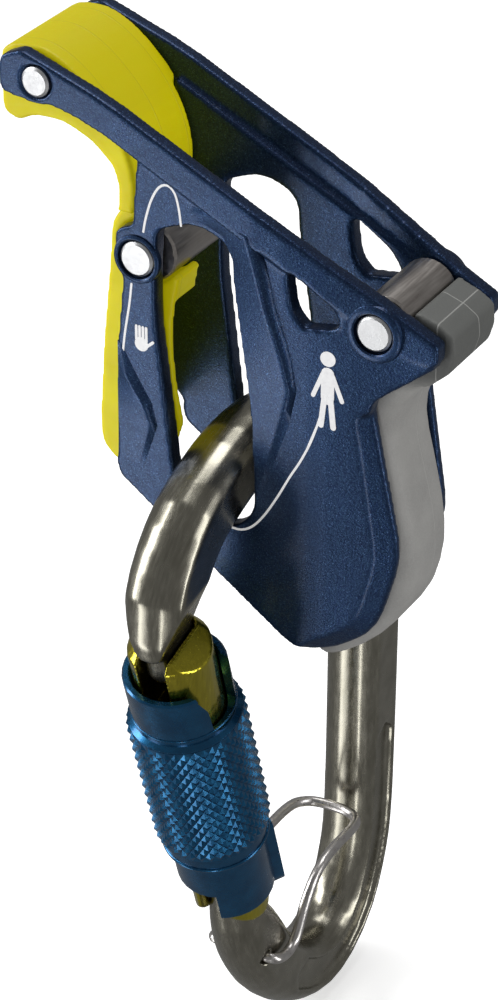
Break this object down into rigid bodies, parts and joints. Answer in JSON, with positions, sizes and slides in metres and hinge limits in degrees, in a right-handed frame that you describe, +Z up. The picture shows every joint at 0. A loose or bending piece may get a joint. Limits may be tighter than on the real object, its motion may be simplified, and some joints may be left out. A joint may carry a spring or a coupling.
{
  "type": "belay device with locking carabiner",
  "caption": "assisted-braking belay device: two side plates round a rope channel, a rope guide, a rear grip and a pear-shaped twist-lock carabiner through its slots",
  "frame": {"origin": "the middle of the brake pin, the lower front rivet's axis on the middle plane between the two side plates", "axes": "+X rearward from the rope guide to the rear grip, +Y from the left plate to the right plate, +Z up"},
  "size_m": [0.0668, 0.0688, 0.1642],
  "materials": {
    "plate_paint": "satin metallic navy paint",
    "guide_plastic": "satin yellow-green moulded plastic",
    "grip_plastic": "matte grey moulded plastic",
    "pin_steel": "turned and brushed steel",
    "rivet_steel": "satin steel",
    "frame_anodised": "brushed gunmetal anodised aluminium",
    "gate_anodised": "glossy olive-gold anodised aluminium",
    "sleeve_anodised": "glossy blue anodised aluminium, knurled",
    "spring_steel": "drawn spring wire",
    "keeper_wire": "polished stainless wire"
  },
  "bodies": {
    "braking_body": {"left_side_plate": "plate_paint", "right_side_plate": "plate_paint", "front_guide": "guide_plastic", "rear_grip": "grip_plastic", "brake_pin": "pin_steel", "rear_bush": "pin_steel", "grip_dowel": "pin_steel", "front_rivet": "rivet_steel", "brake_rivet": "rivet_steel", "rear_rivet": "rivet_steel"},
    "carabiner": {"carabiner_frame": "frame_anodised"},
    "gate": {"gate_arm": "gate_anodised", "gate_pivot_pin": "pin_steel", "gate_plunger": "pin_steel", "gate_spring": "spring_steel", "sleeve_collar": "sleeve_anodised", "sleeve_spring": "spring_steel", "sleeve_guide_pin": "pin_steel"},
    "sleeve": {"locking_sleeve": "sleeve_anodised"},
    "keeper": {"wire_keeper": "keeper_wire"}
  },
  "joints": [
    {"name": "carabiner_swing", "type": "hinge", "parent": "braking_body", "child": "carabiner", "pos_m": [0.0113, 0, -0.0312], "axis": [0, 1, 0], "range_deg": [-10, 40]},
    {"name": "gate_opening", "type": "hinge", "parent": "carabiner", "child": "gate", "pos_m": [0.0113, -0.00611, -0.1005], "axis": [-1, 0, 0], "range_deg": [0, 22], "stiffness_Nm_per_rad": 0.02, "springref_deg": -20.05},
    {"name": "sleeve_twist", "type": "hinge", "parent": "gate", "child": "sleeve", "pos_m": [0.0113, -0.00611, -0.1005], "axis": [0, -0.2955, 0.9553], "range_deg": [0, 90], "stiffness_Nm_per_rad": 0.003, "springref_deg": -34.38},
    {"name": "keeper_swing", "type": "hinge", "parent": "carabiner", "child": "keeper", "pos_m": [0.0113, -0.0018, -0.1167], "axis": [1, 0, 0], "range_deg": [0, 40], "stiffness_Nm_per_rad": 0.004, "springref_deg": -17.19}
  ]
}
